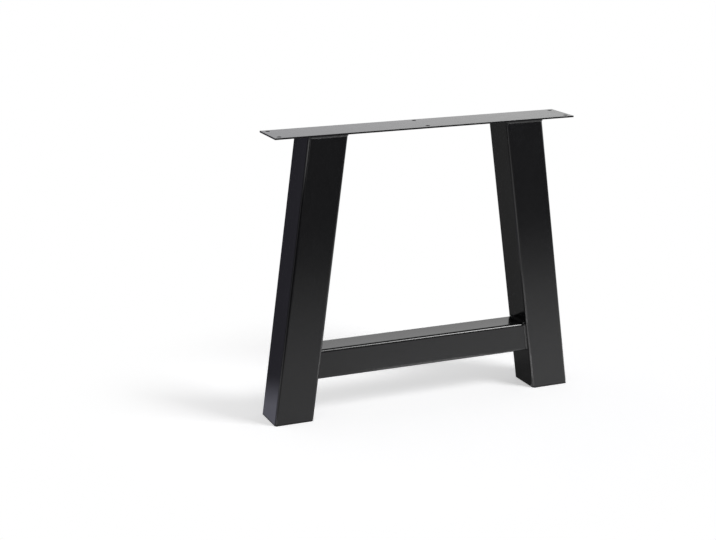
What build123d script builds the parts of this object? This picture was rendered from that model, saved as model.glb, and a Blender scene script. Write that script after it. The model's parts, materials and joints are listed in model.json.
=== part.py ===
from build123d import *
from math import atan2, cos, sin, tan
import os

os.makedirs("parts", exist_ok=True)

# Overall sizes in millimetres
leg_height = 710  # floor to the top of the plate
foot_spread = 812  # outside of one foot to outside of the other, at the floor
shoulder_spread = 620  # outside to outside of the legs, where they meet the plate

# Square tubes, bent from sheet to a corner radius of three times the wall
leg_size = 100
bar_size = 75
tube_wall = 2.5
tube_corner = 3 * tube_wall
bar_lift = 101  # floor to the underside of the crossbar

# Top plate, with a pair of bolt holes at each end and one in the middle
plate_length = 790
plate_width = 110
plate_thickness = 4
plate_edge_break = 0.5
bolt_hole = 11
bolt_inset = 15  # hole centre to the plate's nearest edges
bolt_columns = 3
bolt_rows = 2

# Fillet welds: how far they reach along each face, and the thickness left at their toe
plate_weld = 4  # along the plate in front of a leg and behind it
plate_weld_side = 1.5  # along the plate beside a leg, where only a thin seam shows
plate_weld_drop = 4  # down the leg
bar_weld = 3
weld_toe = 0.4

# Plastic inserts that close the feet
insert_flange = 3
insert_edge_break = 0.5
insert_depth = 24
insert_wall = 2.5
insert_clearance = 1  # between the insert's skirt and the tube, bridged by the fins
fin_thickness = 1.2
fin_spacing = 7
fin_count = 3

# The legs lean towards each other, so a level cut through one is stretched along X
plate_underside = leg_height - plate_thickness
lean = atan2((foot_spread - shoulder_spread) / 2, plate_underside)
leg_across = leg_size / cos(lean)
bore_across = leg_across - 2 * tube_wall / cos(lean)
bore_size = leg_size - 2 * tube_wall
bore_corner = tube_corner - tube_wall
skirt_across = bore_across - 2 * insert_clearance
skirt_size = bore_size - 2 * insert_clearance
bar_bore = bar_size - 2 * tube_wall
bar_middle = bar_lift + bar_size / 2
bar_upright = bar_size / cos(lean)  # the bar's height measured along a leg's face
bolt_pitch_x = (plate_length - 2 * bolt_inset) / (bolt_columns - 1)
bolt_pitch_y = (plate_width - 2 * bolt_inset) / (bolt_rows - 1)


# Level plane centred on a leg's axis, with side -1 for the left leg and 1 for the right
def leg_level(side, height):
    return Plane((side * (foot_spread / 2 - leg_across / 2 - height * tan(lean)), 0, height))


# Direction that a leg runs in, from its foot up
def leg_axis(side):
    return (-side * sin(lean), 0, cos(lean))


# Plane of a leg's inner face where the crossbar meets it, facing the other leg
def inner_face(side):
    across = foot_spread / 2 - leg_across - bar_middle * tan(lean)
    inward = (-side * cos(lean), 0, -sin(lean))
    return Plane((side * across, 0, bar_middle), x_dir=(0, -side, 0), z_dir=inward)


bar_section = Plane((0, 0, bar_middle), x_dir=(0, 1, 0), z_dir=(1, 0, 0))

# Top plate
with BuildPart() as top_plate:
    with BuildSketch(Plane.XY.offset(plate_underside)):
        Rectangle(plate_length, plate_width)
    extrude(amount=plate_thickness)
    outline = top_plate.faces().filter_by(Axis.Z).edges()
    chamfer(outline, length=plate_edge_break)
    with Locations(Plane.XY.offset(leg_height)):
        with GridLocations(bolt_pitch_x, bolt_pitch_y, bolt_columns, bolt_rows):
            Hole(radius=bolt_hole / 2)
top_plate.part.label = "top_plate"
export_step(top_plate.part, "parts/top_plate.step")

# Crossbar, its ends cut to the lean of the legs
with BuildPart() as crossbar:
    with BuildSketch(bar_section):
        RectangleRounded(bar_size, bar_size, tube_corner)
        RectangleRounded(bar_bore, bar_bore, bore_corner, mode=Mode.SUBTRACT)
    extrude(amount=foot_spread / 2, both=True)
    split(bisect_by=inner_face(-1), keep=Keep.TOP)
    split(bisect_by=inner_face(1), keep=Keep.TOP)
crossbar.part.label = "crossbar"
export_step(crossbar.part, "parts/crossbar.step")

for side, name in ((-1, "left"), (1, "right")):
    # Leg tube, cut level at both ends and standing on its insert's flange
    with BuildPart() as leg:
        with BuildSketch(leg_level(side, insert_flange)):
            RectangleRounded(leg_across, leg_size, tube_corner)
            RectangleRounded(bore_across, bore_size, bore_corner, mode=Mode.SUBTRACT)
        extrude(amount=(plate_underside - insert_flange) / cos(lean), dir=leg_axis(side))
    leg.part.label = f"{name}_leg"
    export_step(leg.part, f"parts/{name}_leg.step")

    # Foot insert: a flange under the tube, and a hollow skirt with fins that grip the bore
    with BuildPart() as insert:
        with BuildSketch(leg_level(side, 0)):
            RectangleRounded(leg_across, leg_size, tube_corner)
        extrude(amount=insert_flange / cos(lean), dir=leg_axis(side))
        chamfer(insert.edges().group_by(Axis.Z)[0], length=insert_edge_break)
        with BuildSketch(leg_level(side, insert_flange)):
            RectangleRounded(skirt_across, skirt_size, bore_corner)
            Rectangle(skirt_across - 2 * insert_wall, skirt_size - 2 * insert_wall, mode=Mode.SUBTRACT)
        extrude(amount=insert_depth / cos(lean), dir=leg_axis(side))
        for fin in range(fin_count):
            fin_height = insert_flange + insert_depth - fin_thickness - fin * fin_spacing
            with BuildSketch(leg_level(side, fin_height)):
                RectangleRounded(bore_across, bore_size, bore_corner)
                Rectangle(skirt_across - 2 * insert_wall, skirt_size - 2 * insert_wall, mode=Mode.SUBTRACT)
            extrude(amount=fin_thickness / cos(lean), dir=leg_axis(side))
    insert.part.label = f"{name}_foot_insert"
    export_step(insert.part, f"parts/{name}_foot_insert.step")

    # Weld all round the top of the leg, in the corner under the plate
    with BuildPart() as weld_to_plate:
        for drop, beside, reach in ((plate_weld_drop, weld_toe, weld_toe), (0, plate_weld_side, plate_weld)):
            with BuildSketch(leg_level(side, plate_underside - drop)):
                RectangleRounded(leg_across + 2 * beside, leg_size + 2 * reach, tube_corner + beside)
        loft()
        with BuildSketch(leg_level(side, plate_underside - plate_weld_drop)):
            RectangleRounded(leg_across, leg_size, tube_corner)
        extrude(amount=plate_weld_drop / cos(lean), dir=leg_axis(side), mode=Mode.SUBTRACT)
    weld_to_plate.part.label = f"{name}_plate_weld"
    export_step(weld_to_plate.part, f"parts/{name}_plate_weld.step")

    # Weld all round the end of the crossbar, on the leg's inner face
    with BuildPart() as weld_to_bar:
        for lift, reach in ((0, bar_weld), (bar_weld, weld_toe)):
            with BuildSketch(inner_face(side).offset(lift)):
                with Locations((0, lift * tan(lean))):
                    RectangleRounded(bar_size + 2 * reach, bar_upright + 2 * reach, tube_corner + reach)
        loft()
        with BuildSketch(bar_section):
            RectangleRounded(bar_size, bar_size, tube_corner)
        extrude(amount=foot_spread / 2, both=True, mode=Mode.SUBTRACT)
    weld_to_bar.part.label = f"{name}_bar_weld"
    export_step(weld_to_bar.part, f"parts/{name}_bar_weld.step")
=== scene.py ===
import json
import math

import bmesh
import bpy
import numpy as np
from mathutils import Matrix, Vector


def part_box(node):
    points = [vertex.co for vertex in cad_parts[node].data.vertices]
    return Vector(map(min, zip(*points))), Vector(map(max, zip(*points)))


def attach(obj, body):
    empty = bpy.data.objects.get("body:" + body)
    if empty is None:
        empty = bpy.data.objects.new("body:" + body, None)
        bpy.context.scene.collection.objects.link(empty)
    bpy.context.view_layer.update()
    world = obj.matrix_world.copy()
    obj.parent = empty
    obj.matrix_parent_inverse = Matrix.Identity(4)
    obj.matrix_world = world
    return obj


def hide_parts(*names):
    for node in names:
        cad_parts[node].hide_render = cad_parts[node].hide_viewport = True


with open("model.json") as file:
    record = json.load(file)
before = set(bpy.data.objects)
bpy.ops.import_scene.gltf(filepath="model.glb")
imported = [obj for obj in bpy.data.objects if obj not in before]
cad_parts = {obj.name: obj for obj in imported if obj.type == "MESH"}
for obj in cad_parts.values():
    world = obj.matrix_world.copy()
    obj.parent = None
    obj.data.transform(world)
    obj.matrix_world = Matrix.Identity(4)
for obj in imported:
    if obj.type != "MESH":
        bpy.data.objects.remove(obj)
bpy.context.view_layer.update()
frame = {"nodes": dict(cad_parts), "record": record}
scene = bpy.context.scene
scene.view_settings.view_transform = "Standard"
print("frame loaded with", len(frame["nodes"]), "nodes")

sameLevel = 1e-5  # points this near in height lie on one rim, in metres
samePoint = 1e-6  # points this near are one
sharpAngle = math.radians(35)  # an edge that turns further stays sharp
rimHeight, lowSide, highSide = 0, 1, 2  # what a rim holds: its height, its lowest x and its highest x


# every vertex of a CAD node, one row each
def nodePoints(node):
    mesh = frame["nodes"][node].data
    flat = np.empty(len(mesh.vertices) * 3, np.float32)
    mesh.vertices.foreach_get("co", flat)
    return flat.reshape(-1, 3).astype(float)


# a leaning tube's level rims, foot first
def levelRims(node):
    points = nodePoints(node)
    rims = []
    for height in (points[:, 2].min(), points[:, 2].max()):
        rim = points[np.abs(points[:, 2] - height) < sameLevel]
        rims.append((height, rim[:, 0].min(), rim[:, 0].max()))
    return rims


# x at any height on the straight line from a leg's foot rim to its top rim, along its low or its high side
def legEdge(node, side, height):
    foot, top = levelRims(node)
    share = (height - foot[rimHeight]) / (top[rimHeight] - foot[rimHeight])
    return foot[side] + share * (top[side] - foot[side])


# Rounded rectangle: four quarter arcs, each followed by a straight run to the next, with points crowded
# at the ends of a run. A run dips by 4 t (1 - t) of the hollow, as rolled tube does.
# Gives the points and their outward normals.
def roundedOutline(halfWide, halfHigh, corner, arcSteps, runSteps, hollow=0.0):
    turn = np.arange(4)[:, None] * np.pi / 2
    angle = turn + np.linspace(0, np.pi / 2, arcSteps + 1)[None, :]
    arcNormal = np.stack([np.cos(angle), np.sin(angle)], -1)
    centre = np.array([[1, 1], [-1, 1], [-1, -1], [1, -1]]) * (halfWide - corner, halfHigh - corner)
    arc = centre[:, None, :] + corner * arcNormal
    share = (0.5 - 0.5 * np.cos(np.linspace(0, np.pi, runSteps + 1)[1:-1]))[None, :, None]
    runNormal = np.repeat(arcNormal[:, -1:, :], runSteps - 1, 1)
    run = arc[:, -1:, :] * (1 - share) + np.roll(arc, -1, 0)[:, :1, :] * share
    run = run - runNormal * hollow * 4 * share * (1 - share)
    points = np.concatenate([arc, run], 1).reshape(-1, 2)
    normals = np.concatenate([arcNormal, runNormal], 1).reshape(-1, 2)
    return points, normals


# the same outline read at evenly spaced distances along it, those distances as shares, and its length
def evenOutline(halfWide, halfHigh, corner, count):
    points, normals = roundedOutline(halfWide, halfHigh, corner, arcSteps=24, runSteps=40)
    loop = np.vstack([points, points[:1]])
    spread = np.vstack([normals, normals[:1]])
    along = np.concatenate([[0], np.cumsum(np.linalg.norm(np.diff(loop, axis=0), axis=1))])
    share = np.arange(count) / count
    at = share * along[-1]
    even = np.stack([np.interp(at, along, loop[:, k]) for k in (0, 1)], -1)
    evenNormals = np.stack([np.interp(at, along, spread[:, k]) for k in (0, 1)], -1)
    evenNormals /= np.linalg.norm(evenNormals, axis=1)[:, None]
    return even, evenNormals, share, along[-1]


# quads over a grid of points that closes on itself both ways
def ringFaces(rows, columns):
    index = np.arange(rows * columns).reshape(rows, columns)
    nextColumn = np.roll(index, -1, 1)
    nextRow = np.roll(index, -1, 0)
    return np.stack([index, nextColumn, np.roll(nextColumn, -1, 0), nextRow], -1).reshape(-1, 4)


# puts points and faces into a mesh, closes its seams and lets it stand in for a CAD node
def makePiece(name, node, points, faces, material):
    mesh = bpy.data.meshes.new(name)
    mesh.from_pydata(points.reshape(-1, 3).tolist(), [], faces.tolist())
    shell = bmesh.new()
    shell.from_mesh(mesh)
    bmesh.ops.remove_doubles(shell, verts=shell.verts, dist=samePoint)
    bmesh.ops.recalc_face_normals(shell, faces=shell.faces)
    shell.to_mesh(mesh)
    shell.free()
    mesh.shade_smooth()
    mesh.set_sharp_from_angle(angle=sharpAngle)
    mesh.materials.append(material)
    piece = bpy.data.objects.new(name, mesh)
    scene.collection.objects.link(piece)
    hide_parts(node)
    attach(piece, "root")
    return piece


# one shader node, with its inputs set by name or joined to another node's output
def addNode(tree, kind, settings=None, **inputs):
    node = tree.nodes.new(kind)
    for key, value in (settings or {}).items():
        setattr(node, key, value)
    for key, value in inputs.items():
        socket = node.inputs[key.replace("_", " ")]
        if isinstance(value, bpy.types.NodeSocket):
            tree.links.new(value, socket)
        else:
            socket.default_value = value
    return node


# a material with no nodes in it yet, and its node tree
def blankMaterial(name):
    material = bpy.data.materials.new(name)
    material.use_nodes = True
    material.node_tree.nodes.clear()
    return material, material.node_tree


noiseLow, noiseHigh = 0.3, 0.7  # nearly all of a noise lies between these
bumpDetail = 2.0
mixDark, mixPale, mixColour = 6, 7, 2  # a Mix node's sockets for colours


# colour that follows a noise from the look's dark to its pale
def mottledColour(tree, noise, look):
    colour = addNode(tree, "ShaderNodeMix", {"data_type": "RGBA"}, Factor=noise)
    colour.inputs[mixDark].default_value = look["dark"]
    colour.inputs[mixPale].default_value = look["pale"]
    return colour.outputs[mixColour]


# roughness that follows a noise from the look's low value to its high one
def noisyRoughness(tree, noise, look):
    low, high = look["roughness"]
    rough = addNode(tree, "ShaderNodeMapRange", Value=noise, From_Min=noiseLow, From_Max=noiseHigh,
                    To_Min=low, To_Max=high)
    return rough.outputs["Result"]


# bumps from a noise, on top of the bumps below them
def noiseBump(tree, place, scale, depth, below=None):
    noise = addNode(tree, "ShaderNodeTexNoise", Vector=place, Scale=scale, Detail=bumpDetail)
    bump = addNode(tree, "ShaderNodeBump", Height=noise.outputs["Fac"], Distance=depth)
    if below is not None:
        tree.links.new(below, bump.inputs["Normal"])
    return bump.outputs["Normal"]


# black powder coat: faint mottle in colour and gloss, orange peel, a fine grain,
# and the slow waviness of sheet steel
coatLook = {
    "dark": (0.0048, 0.0048, 0.0054, 1),
    "pale": (0.0078, 0.0078, 0.0086, 1),
    "mottleScale": 14.0,
    "mottleDetail": 4.0,
    "glossScale": 38.0,
    "glossDetail": 5.0,
    "roughness": (0.12, 0.16),
    "ior": 1.54,
    "peelScale": 520.0,
    "peelDepth": 0.000035,
    "grainScale": 2400.0,
    "grainDepth": 0.000006,
    "waveScale": 6.0,
    "waveDepth": 0.0003,
}


def powderCoat(name, look, peel=1.0):
    material, tree = blankMaterial(name)
    place = addNode(tree, "ShaderNodeTexCoord").outputs["Object"]
    mottle = addNode(tree, "ShaderNodeTexNoise", Vector=place, Scale=look["mottleScale"],
                     Detail=look["mottleDetail"])
    gloss = addNode(tree, "ShaderNodeTexNoise", Vector=place, Scale=look["glossScale"],
                    Detail=look["glossDetail"])
    bumps = noiseBump(tree, place, look["waveScale"], look["waveDepth"])
    bumps = noiseBump(tree, place, look["peelScale"], look["peelDepth"] * peel, bumps)
    bumps = noiseBump(tree, place, look["grainScale"], look["grainDepth"] * peel, bumps)
    shader = addNode(tree, "ShaderNodeBsdfPrincipled", Normal=bumps, IOR=look["ior"],
                     Base_Color=mottledColour(tree, mottle.outputs["Fac"], look),
                     Roughness=noisyRoughness(tree, gloss.outputs["Fac"], look))
    addNode(tree, "ShaderNodeOutputMaterial", Surface=shader.outputs["BSDF"])
    return material


# moulded plastic: a shade duller than the coat, with an even spark-eroded grain
plasticLook = {
    "dark": (0.008, 0.008, 0.008, 1),
    "pale": (0.014, 0.014, 0.0145, 1),
    "mottleScale": 30.0,
    "mottleDetail": 4.0,
    "roughness": (0.42, 0.55),
    "ior": 1.48,
    "specular": 0.3,
    "grainScale": 1500.0,
    "grainDepth": 0.00003,
}


def mouldedPlastic(name, look):
    material, tree = blankMaterial(name)
    place = addNode(tree, "ShaderNodeTexCoord").outputs["Object"]
    mottle = addNode(tree, "ShaderNodeTexNoise", Vector=place, Scale=look["mottleScale"],
                     Detail=look["mottleDetail"])
    grain = noiseBump(tree, place, look["grainScale"], look["grainDepth"])
    shader = addNode(tree, "ShaderNodeBsdfPrincipled", Normal=grain, IOR=look["ior"],
                     Specular_IOR_Level=look["specular"],
                     Base_Color=mottledColour(tree, mottle.outputs["Fac"], look),
                     Roughness=noisyRoughness(tree, mottle.outputs["Fac"], look))
    addNode(tree, "ShaderNodeOutputMaterial", Surface=shader.outputs["BSDF"])
    return material


blackCoat = powderCoat("blackPowderCoat", coatLook)
plateCoat = powderCoat("coatOnPlate", {**coatLook, "roughness": (0.14, 0.18)})  # a little duller
weldCoat = powderCoat("coatOverWeld", coatLook, peel=2.0)
footPlastic = mouldedPlastic("footPlastic", plasticLook)
print("materials made")


# A tube's corner radius and wall, read from its foot rim: only the ends of the flat runs lie as near the
# middle as the flats reach, the outer ones at full depth and the bore's one wall further in.
def tubeSection(node):
    points = nodePoints(node)
    rim = points[np.abs(points[:, 2] - points[:, 2].min()) < sameLevel]
    across = np.abs(rim[:, 0] - (rim[:, 0].min() + rim[:, 0].max()) / 2)
    depth = rim[:, 1].max()
    flat = across[rim[:, 1] > depth - samePoint].max()
    ends = rim[(across < flat + samePoint) & (rim[:, 1] > 0)]
    return float(across.max() - flat), float(depth - ends[:, 1].min())


# square tubes, all of one corner and wall
tubeCorner, tubeWall = tubeSection("left_leg")
print("tube corner", round(tubeCorner, 5), "wall", round(tubeWall, 5))
tubeShape = {
    "corner": tubeCorner,
    "wall": tubeWall,
    "hollow": 0.00025,  # how far a rolled face dips at its middle
    "arcSteps": 10,
    "runSteps": 16,
    "stations": 40,
}


# Leg tube: the rounded outline carried up the leaning axis, then the bore's outline carried down it again,
# so that a rim joins them at each end.
def legTube(name, node, shape):
    (footZ, footLow, footHigh), (topZ, topLow, topHigh) = levelRims(node)
    low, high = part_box(node)
    halfWide, halfDeep = (footHigh - footLow) / 2, (high.y - low.y) / 2
    stretch = halfWide / halfDeep  # how much wider than deep a level cut through the leaning tube is
    steps = (shape["arcSteps"], shape["runSteps"], shape["hollow"])
    wall, corner = shape["wall"], shape["corner"]
    outer, _ = roundedOutline(halfWide, halfDeep, corner, *steps)
    inner, _ = roundedOutline(halfWide - wall * stretch, halfDeep - wall, corner - wall, *steps)
    share = np.linspace(0, 1, shape["stations"])[:, None]
    centre = ((footLow + footHigh) * (1 - share) + (topLow + topHigh) * share) / 2
    height = footZ + share * (topZ - footZ)

    def carried(outline):
        x = centre + outline[None, :, 0]
        y = np.broadcast_to(outline[None, :, 1], x.shape)
        z = np.broadcast_to(height, x.shape)
        return np.stack([x, y, z], -1)

    grid = np.concatenate([carried(outer), carried(inner)[::-1]])
    makePiece(name, node, grid, ringFaces(*grid.shape[:2]), blackCoat)


# Crossbar: the rounded outline stands upright and is carried along X, each point running as far
# as the legs' leaning inner faces at its own height.
def crossTube(name, node, shape):
    low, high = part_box(node)
    half, middle = (high.z - low.z) / 2, (high.z + low.z) / 2
    steps = (shape["arcSteps"], shape["runSteps"], shape["hollow"])
    wall, corner = shape["wall"], shape["corner"]
    share = np.linspace(0, 1, shape["stations"])[:, None]

    def carried(outline):
        height = middle + outline[None, :, 1]
        left, right = legEdge("left_leg", highSide, height), legEdge("right_leg", lowSide, height)
        x = left * (1 - share) + right * share
        y = np.broadcast_to(outline[None, :, 0], x.shape)
        z = np.broadcast_to(height, x.shape)
        return np.stack([x, y, z], -1)

    outer, _ = roundedOutline(half, half, corner, *steps)
    inner, _ = roundedOutline(half - wall, half - wall, corner - wall, *steps)
    grid = np.concatenate([carried(outer), carried(inner)[::-1]])
    makePiece(name, node, grid, ringFaces(*grid.shape[:2]), blackCoat)


legTube("leftLegTube", "left_leg", tubeShape)
legTube("rightLegTube", "right_leg", tubeShape)
crossTube("crossbarTube", "crossbar", tubeShape)
print("tubes made")

# top plate, drilled near its corners and at mid length as the record's bolt pattern says
mounts = {mount["name"]: mount["dims"] for mount in frame["record"]["mounts"]}
boltPattern = mounts["plate_end_holes"]
millimetres = 1000  # in a metre
plateShape = {
    "hole": boltPattern["hole_r_mm"] / millimetres,  # radius
    "pitch": boltPattern["spacing_x_mm"] / millimetres,  # from the holes at one end to those at the other
    "cellSteps": 8,
    "longSteps": 30,
    "wideSteps": 8,
    "ringSteps": 5,
    "ringCrowd": 1.5,  # above 1, the rings round a hole crowd towards it
    "edgeRound": 0.0003,
    "edgeSegments": 3,
    "edgeAngle": math.radians(40),  # edges that turn further are rounded
}


# Flat sheet with holes. The sheet is cut into bands across its length and width; a plain patch is a grid,
# and a holed one, every second band both ways, blends from a circle at t = 0 to its own square at t = 1.
def drilledSheet(low, high, shape):
    steps = shape["cellSteps"]
    cell = high.x - low.x - shape["pitch"]  # square of plate that each hole sits in the middle of
    middle = (low.x + high.x) / 2
    bandsX = [low.x, low.x + cell, middle - cell / 2, middle + cell / 2, high.x - cell, high.x]
    bandsY = [low.y, low.y + cell, high.y - cell, high.y]
    stepsX = [steps, shape["longSteps"], steps, shape["longSteps"], steps]
    stepsY = [steps, shape["wideSteps"], steps]
    t = np.linspace(0, 1, shape["ringSteps"] + 1)[:, None, None] ** shape["ringCrowd"]
    patches, faces, holes, count = [], [], [], 0
    for i, nx in enumerate(stepsX):
        for j, ny in enumerate(stepsY):
            x = np.linspace(bandsX[i], bandsX[i + 1], nx + 1)
            y = np.linspace(bandsY[j], bandsY[j + 1], ny + 1)
            holed = i % 2 == 0 and j % 2 == 0
            if holed:
                side = np.linspace(-1, 1, nx + 1)[:-1]
                one = np.ones(nx)
                sides = ((side, -one), (one, side), (-side, one), (-one, -side))
                square = np.concatenate([np.stack(pair, -1) for pair in sides]) * cell / 2
                circle = square / np.linalg.norm(square, axis=1)[:, None] * shape["hole"]
                grid = circle * (1 - t) + square * t + ((x[0] + x[-1]) / 2, (y[0] + y[-1]) / 2)
                holes.append(grid[0])
            else:
                grid = np.stack(np.meshgrid(x, y, indexing="ij"), -1)
            index = count + np.arange(grid.shape[0] * grid.shape[1]).reshape(grid.shape[:2])
            if holed:
                index = np.concatenate([index, index[:, :1]], 1)
            quads = np.stack([index[:-1, :-1], index[:-1, 1:], index[1:, 1:], index[1:, :-1]], -1)
            patches.append(grid.reshape(-1, 2))
            faces.append(quads.reshape(-1, 4))
            count += len(patches[-1])
    return np.concatenate(patches), np.concatenate(faces), holes, (bandsX, bandsY, stepsX, stepsY)


# the sheet's outline as a closed loop, with the same steps as the patches that meet it
def sheetOutline(bandsX, bandsY, stepsX, stepsY):
    x = np.concatenate([np.linspace(a, b, n + 1)[:-1] for a, b, n in zip(bandsX, bandsX[1:], stepsX)])
    y = np.concatenate([np.linspace(a, b, n + 1)[:-1] for a, b, n in zip(bandsY, bandsY[1:], stepsY)])
    left, right, front, back = bandsX[0], bandsX[-1], bandsY[0], bandsY[-1]
    backX = left + right - x
    leftY = front + back - y
    sides = ((x, np.full_like(x, front)), (np.full_like(y, right), y),
             (backX, np.full_like(x, back)), (np.full_like(y, left), leftY))
    return np.concatenate([np.stack(pair, -1) for pair in sides])


# Plate: the drilled sheet once at the top and once at the underside, joined by a wall round the outline
# and a wall down each hole.
def topPlate(name, node, shape):
    low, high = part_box(node)
    flat, faces, holes, bands = drilledSheet(low, high, shape)
    points = [np.column_stack([flat, np.full(len(flat), z)]) for z in (high.z, low.z)]
    quads = [faces, faces + len(flat)]
    count = 2 * len(flat)
    for loop in [sheetOutline(*bands), *holes]:
        n = len(loop)
        points += [np.column_stack([loop, np.full(n, z)]) for z in (high.z, low.z)]
        upper = count + np.arange(n)
        quads.append(np.stack([upper, np.roll(upper, -1), np.roll(upper, -1) + n, upper + n], -1))
        count += 2 * n
    piece = makePiece(name, node, np.concatenate(points), np.concatenate(quads), plateCoat)
    edge = piece.modifiers.new("edgeRound", "BEVEL")
    edge.width = shape["edgeRound"]
    edge.segments = shape["edgeSegments"]
    edge.limit_method = "ANGLE"
    edge.angle_limit = shape["edgeAngle"]
    edge.harden_normals = True


topPlate("topPlate", "top_plate", plateShape)
print("plate made")

# weld beads, laid as overlapping ripples and softened by the coat
weldShape = {
    "pitch": 0.0026,  # from one ripple to the next
    "ripple": 0.00022,  # how high a ripple stands
    "chevron": 0.5,  # how far a ripple trails at its toes, in pitches
    "crown": 0.55,  # below 0 for a hollow bead, 0 for a flat one, 1 for a quarter round
    "run": 1.5,  # how much further a bead runs over the leg than the CAD's plain fillet
    "waves": (3, 5, 8, 13, 21),  # slow waves that the bead wanders by, each this many times round it
    "calm": 3,  # what the sum of the waves is divided by
    "wander": 0.07,  # how unevenly wide the bead is
    "shift": 0.35,  # how far a ripple slides along the bead, in pitches
    "uneven": 0.4,  # how much the ripples' heights differ
    "stepsPerRipple": 7,
    "faceSteps": 12,
    "backSteps": 3,
}
barWeldShape = {**weldShape, "crown": -0.1, "ripple": 0.00012}  # the bar's welds run out flat


# Bead section round an outline. Across the bead, v runs from one toe to the other and the face blends a
# straight line with a quarter round; along it, s adds ripples |sin(pi s / pitch)| that trail at the toes,
# and a slow wander that is a sum of sines. Gives how far out and how far along every point is, in shares
# of the bead's two reaches, and the ripple's height.
def beadSection(share, length, shape, phase):
    ripples = round(length / shape["pitch"])
    v = np.linspace(0, 1, shape["faceSteps"] + 1)[None, :]
    s = share[:, None]
    crown = shape["crown"]
    out = (1 - crown) * (1 - v) + crown * np.cos(v * np.pi / 2)
    down = (1 - crown) * v + crown * np.sin(v * np.pi / 2)
    slow = sum(np.sin(2 * np.pi * (k * s + phase * k * k)) for k in shape["waves"]) / shape["calm"]
    trail = shape["chevron"] * (2 * v - 1) ** 2
    swell = np.abs(np.sin(np.pi * (ripples * s - trail + shape["shift"] * slow))) - 0.5  # -0.5 to 0.5
    lift = shape["ripple"] * swell * np.sqrt(np.sin(np.pi * v).clip(0, 1)) * (1 + shape["uneven"] * slow)
    width = 1 + shape["wander"] * slow
    back = np.linspace(0, 1, shape["backSteps"] + 1)[1:-1]
    zero = np.zeros_like(back)
    closing = np.concatenate([np.stack([zero, 1 - back]), np.zeros((2, 1)), np.stack([back, zero])], 1)
    ones = np.ones_like(s)
    out = np.concatenate([out * width, closing[0][None, :] * ones * width], 1)
    down = np.concatenate([down * width, closing[1][None, :] * ones * width], 1)
    lift = np.concatenate([lift, np.zeros((len(share), closing.shape[1]))], 1)
    return out, down, lift


# points round a bead: the ripples that fit the way round a rectangle, times the steps in each
def beadCount(halfWide, halfHigh, shape):
    return int(round(4 * (halfWide + halfHigh) / shape["pitch"])) * shape["stepsPerRipple"]


# Bead under the plate: it reaches out along the plate and down the leg, and follows the leg's lean.
def plateBead(name, node, legNode, shape, phase):
    (footZ, footLow, footHigh), (topZ, topLow, topHigh) = levelRims(legNode)
    low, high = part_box(legNode)
    weldLow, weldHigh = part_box(node)
    _, (_, seamLow, seamHigh) = levelRims(node)
    halfWide, halfDeep = (topHigh - topLow) / 2, (high.y - low.y) / 2
    slope = ((topLow + topHigh) - (footLow + footHigh)) / 2 / (topZ - footZ)
    count = beadCount(halfWide, halfDeep, shape)
    outline, normals, share, length = evenOutline(halfWide, halfDeep, tubeShape["corner"], count)
    out, down, lift = beadSection(share, length, shape, phase)
    beside = (seamHigh - seamLow) / 2 - halfWide
    ahead = (weldHigh.y - weldLow.y) / 2 - halfDeep
    reach = beside + (ahead - beside) * normals[:, 1:] ** 2  # thin beside the leg, full front and back
    drop = (weldHigh.z - weldLow.z) * shape["run"] * (reach / ahead) ** 0.5
    size = np.hypot(reach, drop)
    out = out * reach + lift * drop / size
    down = down * drop + lift * reach / size
    x = (topLow + topHigh) / 2 - slope * down + outline[:, :1] + normals[:, :1] * out
    y = outline[:, 1:] + normals[:, 1:] * out
    grid = np.stack([x, y, topZ - down], -1)
    makePiece(name, node, grid, ringFaces(*grid.shape[:2]), weldCoat)


# Bead at the crossbar's end: it reaches out over the leg's inner face and along the bar.
def barBead(name, node, legNode, side, shape, phase):
    low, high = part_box("crossbar")
    half, middle = (high.z - low.z) / 2, (high.z + low.z) / 2
    count = beadCount(half, half, shape)
    outline, normals, share, length = evenOutline(half, half, tubeShape["corner"], count)
    out, along, lift = beadSection(share, length, shape, phase)
    weldLow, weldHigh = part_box(node)
    reach = (weldHigh.y - weldLow.y) / 2 - half
    slant = math.sqrt(0.5)  # a ripple stands out by as much as it stands along
    out = out * reach * shape["run"] + lift * slant
    along = along * reach + lift * slant
    y = outline[:, :1] + normals[:, :1] * out
    z = middle + outline[:, 1:] + normals[:, 1:] * out
    face = legEdge(legNode, side, z)
    grid = np.stack([face - np.sign(face) * along, y, z], -1)
    makePiece(name, node, grid, ringFaces(*grid.shape[:2]), weldCoat)


plateBead("leftPlateBead", "left_plate_weld", "left_leg", weldShape, phase=0.13)
plateBead("rightPlateBead", "right_plate_weld", "right_leg", weldShape, phase=0.41)
barBead("leftBarBead", "left_bar_weld", "left_leg", highSide, barWeldShape, phase=0.27)
barBead("rightBarBead", "right_bar_weld", "right_leg", lowSide, barWeldShape, phase=0.62)
print("welds made")

for node in ("left_foot_insert", "right_foot_insert"):
    slots = frame["nodes"][node].data.materials
    slots.clear()
    slots.append(footPlastic)
print("inserts dressed")


# 1 for rays that see the backdrop, from the camera or by way of gloss or glass, and 0 for rays that light
def seesBackdrop(tree):
    path = addNode(tree, "ShaderNodeLightPath")
    seen = path.outputs["Is Camera Ray"]
    for ray in ("Is Glossy Ray", "Is Transmission Ray"):
        either = addNode(tree, "ShaderNodeMath", {"operation": "MAXIMUM"})
        tree.links.new(seen, either.inputs[0])
        tree.links.new(path.outputs[ray], either.inputs[1])
        seen = either.outputs["Value"]
    return seen


# how far a shaded point lies from a fixed one
def distanceFrom(tree, point):
    away = addNode(tree, "ShaderNodeVectorMath", {"operation": "DISTANCE"})
    tree.links.new(addNode(tree, "ShaderNodeTexCoord").outputs["Object"], away.inputs[0])
    away.inputs[1].default_value = point
    return away.outputs["Value"]


# 0 up to one value and 1 from another on, eased between them
def smoothShare(tree, value, start, end):
    share = addNode(tree, "ShaderNodeMapRange", {"interpolation_type": "SMOOTHSTEP"}, Value=value,
                    From_Min=start, From_Max=end)
    return share.outputs["Result"]


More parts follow.
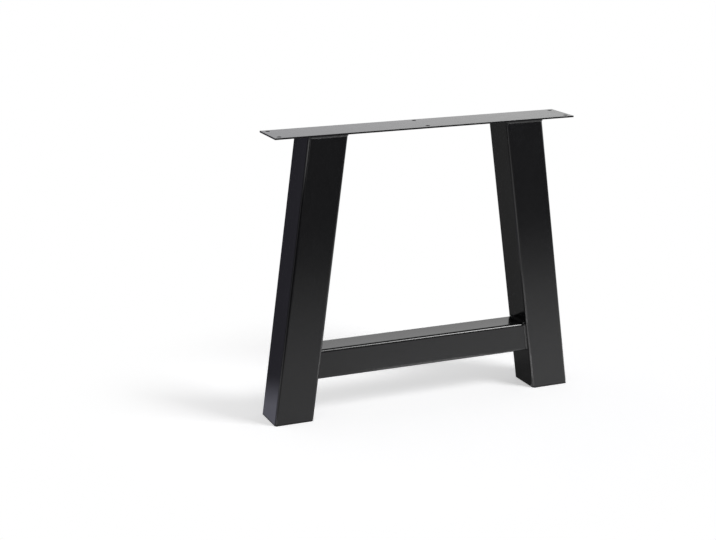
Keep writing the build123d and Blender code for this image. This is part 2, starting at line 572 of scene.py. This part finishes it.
# one shader where the share is 0 and another where it is 1
def mixedShader(tree, share, first, second):
    mixed = addNode(tree, "ShaderNodeMixShader", Fac=share)
    tree.links.new(first, mixed.inputs[1])
    tree.links.new(second, mixed.inputs[2])
    return mixed.outputs["Shader"]


# two shaders on top of each other
def addedShader(tree, first, second):
    added = addNode(tree, "ShaderNodeAddShader")
    tree.links.new(first, added.inputs[0])
    tree.links.new(second, added.inputs[1])
    return added.outputs["Shader"]


# lets everything behind it through
def clearShader(tree):
    return addNode(tree, "ShaderNodeBsdfTransparent").outputs["BSDF"]


# a flat sheet of the studio, which is no part of the object
def stageSheet(name, points, faces, material):
    mesh = bpy.data.meshes.new(name)
    mesh.from_pydata(points, [], faces)
    mesh.materials.append(material)
    sheet = bpy.data.objects.new(name, mesh)
    scene.collection.objects.link(sheet)
    return sheet


# white floor, lifted to white where it is looked at, so that only the object's shadow is left on it
floorLook = {
    "half": 60.0,
    "colour": (0.80, 0.80, 0.81, 1),
    "liftFar": 0.79,  # out of the lamp's light
    "liftNear": 0.10,  # the least that is left under the lamp
    "lampFall": -9.2,  # the lamp's share of white, times its distance to the power below
    "lampPower": -3.0,
    "middle": (0, 0, 0),
    "whiteFrom": 0.5,  # how far from the middle the shadow starts to wash out
    "whiteTo": 0.9,  # and where it is gone
}


# the lift falls short of its far value by the lamp's own light, which goes with one over its distance cubed
def studioFloor(look, lampPlace):
    material, tree = blankMaterial("studioFloor")
    paper = addNode(tree, "ShaderNodeBsdfDiffuse", Color=look["colour"]).outputs["BSDF"]
    white = addNode(tree, "ShaderNodeEmission", Strength=1.0).outputs["Emission"]
    lift = distanceFrom(tree, lampPlace)
    for operation, values in (("POWER", (look["lampPower"],)),
                              ("MULTIPLY_ADD", (look["lampFall"], look["liftFar"])),
                              ("MAXIMUM", (look["liftNear"],))):
        step = addNode(tree, "ShaderNodeMath", {"operation": operation})
        tree.links.new(lift, step.inputs[0])
        for k, value in enumerate(values):
            step.inputs[k + 1].default_value = value
        lift = step.outputs["Value"]
    glow = addNode(tree, "ShaderNodeEmission", Strength=lift).outputs["Emission"]
    away = smoothShare(tree, distanceFrom(tree, look["middle"]), look["whiteFrom"], look["whiteTo"])
    washed = mixedShader(tree, away, addedShader(tree, paper, glow), white)
    both = mixedShader(tree, seesBackdrop(tree), paper, washed)
    addNode(tree, "ShaderNodeOutputMaterial", Surface=both)
    half = look["half"]
    corners = [(-half, -half, 0), (half, -half, 0), (half, half, 0), (-half, half, 0)]
    stageSheet("studioFloor", corners, [(0, 1, 2, 3)], material)


# white backdrop all round, and how much of it lights the object
studioLook = {
    "seen": 1.0,
    "light": 0.30,
    "tint": (1.0, 1.0, 1.0, 1),
}


def studioWorld(look):
    world = bpy.data.worlds.new("studio")
    scene.world = world
    world.use_nodes = True
    tree = world.node_tree
    tree.nodes.clear()
    strength = addNode(tree, "ShaderNodeMapRange", Value=seesBackdrop(tree), To_Min=look["light"],
                       To_Max=look["seen"])
    back = addNode(tree, "ShaderNodeBackground", Color=look["tint"], Strength=strength.outputs["Result"])
    addNode(tree, "ShaderNodeOutputWorld", Surface=back.outputs["Background"])


# x beside the low side of a leg at each height, so that a card leans as the leg does
def besideLeg(node, gap, heights):
    return [legEdge(node, lowSide, height) + gap for height in heights]


# a neutral colour
def grey(level):
    return (level, level, level, 1)


# Painted reflections: sheets that glow dark or pale, which only gloss sees and which light nothing,
# standing in for the room in the black object's reflections. Each has its ends along X and the line that it
# follows in Y and Z.
# A fade gives what it goes by, the height or the distance from a point, then where the card is clear and
# where it is full.
paintedReflectionCards = {
    "frontCard": {  # painted dark reflection in the fronts of the legs and the bar, standing in for the floor and wall ahead
        "colour": (0.11, 0.11, 0.113, 1),
        "ends": (-0.405, 5.0),
        "line": ((-0.02, 0.001), (-4.2, 0.001), (-4.2, 2.4)),
        "fades": [((0.68, 0.57, 0.0), 0.5, 2.5)],
    },
    "sideCard": {  # painted dark reflection of the floor ahead and to the left
        "colour": (0.11, 0.11, 0.113, 1),
        "ends": (-1.7, -0.405),
        "line": ((-0.6, 0.001), (-4.2, 0.001)),
        "fades": [((0.68, 0.57, 0.0), 1.4, 3.0)],
    },
    "leftCard": {  # painted dark violet reflection in the left leg's outer side, clearing towards the floor
        "colour": (0.092, 0.089, 0.112, 1),
        "ends": (-2.2, -0.36),
        "line": ((0.15, 0.0), (0.15, 1.4)),
        "fades": [("height", -0.016, 0.081)],
    },
    "footCard": {  # painted violet-grey reflection of the floor beside the left foot, in the foot's outer side
        "colour": (0.50, 0.50, 0.60, 1),
        "ends": (-0.9, -0.4065),
        "line": ((-0.05, 0.0005), (0.6, 0.0005)),
    },
    "cornerCard": {  # painted dark reflection in the left leg's outer front corner
        "colour": (0.05, 0.05, 0.055, 1),
        "ends": (-2.5, besideLeg("left_leg", -0.006, (0.0, 0.71))),
        "line": ((-0.10, 0.0), (-0.10, 0.71)),
        "fades": [("height", -0.3, 0.35)],
    },
    "betweenCard": {  # floor between the legs
        # painted dark reflection of the floor between the legs, in the right leg's inner side
        "colour": grey(0.14),
        "ends": (-0.30, 0.30),
        "line": ((-0.03, 0.0005), (0.5, 0.0005)),
    },
    "shadeCard": {  # floor by the right foot, in the shade of the leg
        # painted shade in the reflection of the floor by the right foot
        "colour": grey(0.09),
        "ends": (0.15, 0.31),
        "line": ((-0.03, 0.0008), (0.2, 0.0008)),
        "fades": [((0.30, 0.03, 0.0), 0.16, 0.05)],
    },
    "behindCard": {  # painted dark reflection of the floor further back
        "colour": grey(0.14),
        "ends": (-2.2, 0.33),
        "line": ((0.5, 0.0005), (5.0, 0.0005)),
    },
    # painted dark reflection overhead, a dark line above the crossbar's edge highlight
    "ceilingCard": {
        "colour": grey(0.02),
        "ends": (-4.0, 5.0),
        "line": ((-3.5, 2.9), (3.0, 2.9)),
    },
    "backCard": {  # painted dark reflection of the wall behind
        "colour": grey(0.03),
        "ends": (-4.0, 0.15),
        "line": ((2.5, 0.0), (2.5, 2.9)),
    },
    "plateCard": {  # painted pale reflection of the far wall low down, in the plate's top
        "colour": (0.85, 0.85, 0.88, 1),
        "ends": (-5.0, 7.5),
        "line": ((12.0, 0.0), (12.0, 3.6)),
        "fades": [((7.5, 12.0, 3.0), 0.5, 4.2)],
    },
    "barCard": {  # painted pale reflection of the far wall high up, in the crossbar's top
        "colour": grey(0.90),
        "ends": (-5.0, 14.0),
        "line": ((12.0, 3.6), (12.0, 8.0)),
    },
}


# painted highlight strip between two gaps from a leg and between two heights, all of it at one y
def legHighlightStrip(colour, node, gaps, y, heights, fades=()):
    return {
        "colour": colour,
        "ends": [besideLeg(node, gap, heights) for gap in gaps],
        "line": [(y, height) for height in heights],
        "fades": fades,
    }


# painted highlights: glowing strips, not lamps, that only gloss sees, given as the cards are, and clear to
# what lies behind them
paintedHighlightStrips = {
    "barStrip": {  # painted highlight line along the crossbar's top front edge
        "colour": grey(21.0),
        "ends": ((1.643, -1.354), (3.329, 0.332)),
        "line": ((-2.1, 1.98), (-0.5, 1.98)),
        "fades": [((-0.9, -0.3, 1.98), 0.67, 3.21)],
    },
    "shoulderStrip": legHighlightStrip(  # painted highlight line high on the left leg's outer corner
        grey(1.5), "left_leg", gaps=(-0.22, -0.022), y=-0.075, heights=(0.5, 0.7),
        fades=[("height", 0.55, 0.67)]),
    "shinStrip": legHighlightStrip(  # painted highlight line on the right leg's inner corner, above the bar
        grey(0.6), "right_leg", gaps=(-0.05, 0.002), y=-0.06, heights=(0.172, 0.36),
        fades=[("height", 0.36, 0.24)]),
    "footStrip": legHighlightStrip(  # the same painted highlight line below the bar
        grey(0.7), "right_leg", gaps=(-0.05, 0.002), y=-0.06, heights=(0.0, 0.085)),
    "kneeStrip": {  # painted highlight lines on the legs' inner corners beside the bar
        "colour": grey(0.8),
        "ends": (-0.07, 0.26),
        "line": ((-0.30, 0.0012), (-0.05, 0.0012)),
    },
}


# painted reflection card or painted highlight strip: its line in Y and Z carried along X from one end to
# the other
def paintedReflectionSheet(name, colour, ends, line, fades=(), clear=False):
    material, tree = blankMaterial(name)
    paintedGlow = addNode(tree, "ShaderNodeEmission", Color=colour).outputs["Emission"]
    if clear:
        paintedGlow = addedShader(tree, paintedGlow, clearShader(tree))
    for start, none, full in fades:
        if start == "height":
            place = addNode(tree, "ShaderNodeTexCoord").outputs["Object"]
            value = addNode(tree, "ShaderNodeSeparateXYZ", Vector=place).outputs["Z"]
        else:
            value = distanceFrom(tree, start)
        paintedGlow = mixedShader(tree, smoothShare(tree, value, none, full), clearShader(tree), paintedGlow)
    addNode(tree, "ShaderNodeOutputMaterial", Surface=paintedGlow)
    count = len(line)
    points = [(x, y, z) for end in ends for x, (y, z) in zip(np.broadcast_to(end, count), line)]
    faces = [(k, k + 1, k + 1 + count, k + count) for k in range(count - 1)]
    card = stageSheet(name, points, faces, material)
    # seen only in gloss, so the sheet paints a reflection and lights nothing
    card.visible_camera = False
    card.visible_diffuse = False
    card.visible_shadow = False


# softbox in front, which gloss doesn't see
softbox = {
    "place": (1.6, -1.75, 2.1),
    "aim": (0.0, 0.0, 0.2),
    "size": 1.1,
    "power": 55.0,
}


def studioLamp(name, look):
    data = bpy.data.lights.new(name, "AREA")
    data.shape = "SQUARE"
    data.size = look["size"]
    data.energy = look["power"]
    lamp = bpy.data.objects.new(name, data)
    lamp.location = look["place"]
    lamp.rotation_euler = (Vector(look["aim"]) - Vector(look["place"])).to_track_quat("-Z", "Y").to_euler()
    lamp.visible_glossy = False
    scene.collection.objects.link(lamp)


studioFloor(floorLook, softbox["place"])
studioWorld(studioLook)
for name, card in paintedReflectionCards.items():
    paintedReflectionSheet(name, **card)
for name, strip in paintedHighlightStrips.items():
    paintedReflectionSheet(name, **strip, clear=True)
studioLamp("softbox", softbox)
print("studio made")

# camera at the photograph's place, angles in degrees, frame in pixels
cameraLook = {
    "place": (-1.5469, -3.3279, 1.3495),
    "azimuth": -22.531,
    "elevation": 15.401,
    "roll": -0.159,
    "focalPixels": 1522.9,
    "framePixels": 716,
    "sensor": 36.0,
}


# camera axes from its angles: back points from the object to the camera, right lies level,
# then right and up turn by the roll
def photoCamera(look):
    turn, rise, roll = (math.radians(look[key]) for key in ("azimuth", "elevation", "roll"))
    back = Vector((math.sin(turn) * math.cos(rise), -math.cos(turn) * math.cos(rise), math.sin(rise)))
    right = Vector((math.cos(turn), math.sin(turn), 0))
    up = back.cross(right)
    rightRolled = right * math.cos(roll) + up * math.sin(roll)
    upRolled = up * math.cos(roll) - right * math.sin(roll)
    data = bpy.data.cameras.new("photoCamera")
    data.sensor_width = look["sensor"]
    data.lens = look["focalPixels"] / look["framePixels"] * look["sensor"]
    camera = bpy.data.objects.new("photoCamera", data)
    axes = Matrix((rightRolled, upRolled, back)).transposed()
    camera.matrix_world = Matrix.Translation(look["place"]) @ axes.to_4x4()
    scene.collection.objects.link(camera)
    scene.camera = camera


photoCamera(cameraLook)
print("camera placed")
